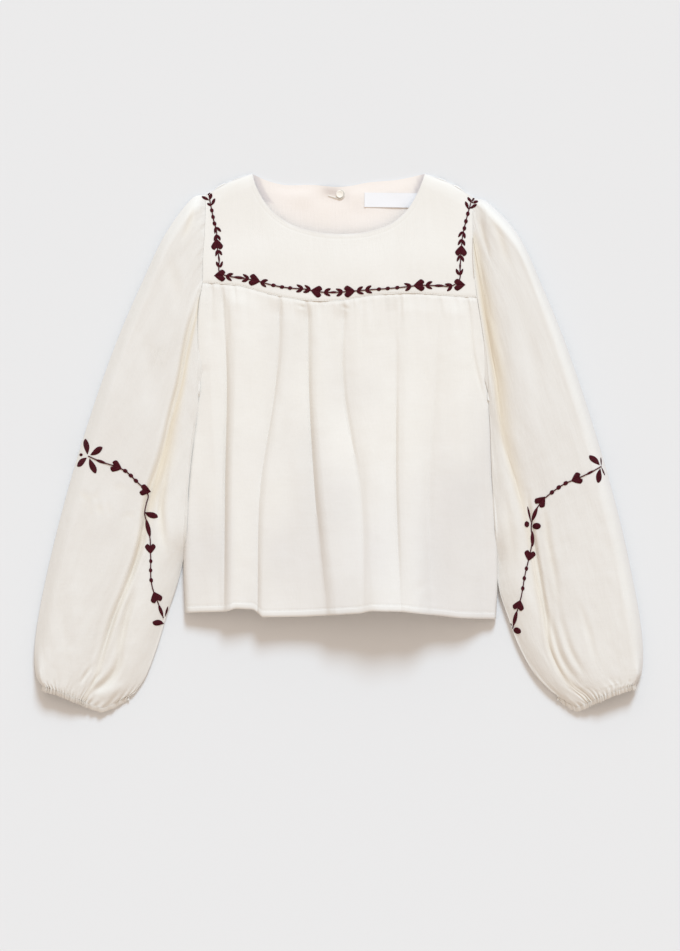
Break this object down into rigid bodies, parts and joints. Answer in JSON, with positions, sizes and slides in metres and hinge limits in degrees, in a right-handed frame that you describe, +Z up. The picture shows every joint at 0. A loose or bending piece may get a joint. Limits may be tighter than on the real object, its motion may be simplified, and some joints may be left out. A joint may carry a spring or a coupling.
{
  "type": "embroidered blouse",
  "caption": "Long-sleeved cotton gauze blouse laid flat: curved yoke, gathered front, balloon sleeves with elastic cuffs, dark red heart and bead embroidery.",
  "frame": {"origin": "middle of the laid blouse's outline, on the surface that it lies on", "axes": "+X across the blouse to the right of the picture, +Y from the hem to the neck, +Z up, away from the surface"},
  "size_m": [0.6685, 0.5924, 0.0465],
  "materials": {
    "cotton_gauze": "matte crinkled double gauze, cream",
    "label_tape": "matte woven tape, white",
    "pearl_button": "glossy, cream pearl"
  },
  "bodies": {
    "root": {"back": "cotton_gauze", "front_yoke": "cotton_gauze", "front_panel": "cotton_gauze", "sleeve_left": "cotton_gauze", "sleeve_right": "cotton_gauze", "cuff_left": "cotton_gauze", "cuff_right": "cotton_gauze", "back_loop": "cotton_gauze", "neck_label": "label_tape", "back_button": "pearl_button"}
  },
  "joints": []
}
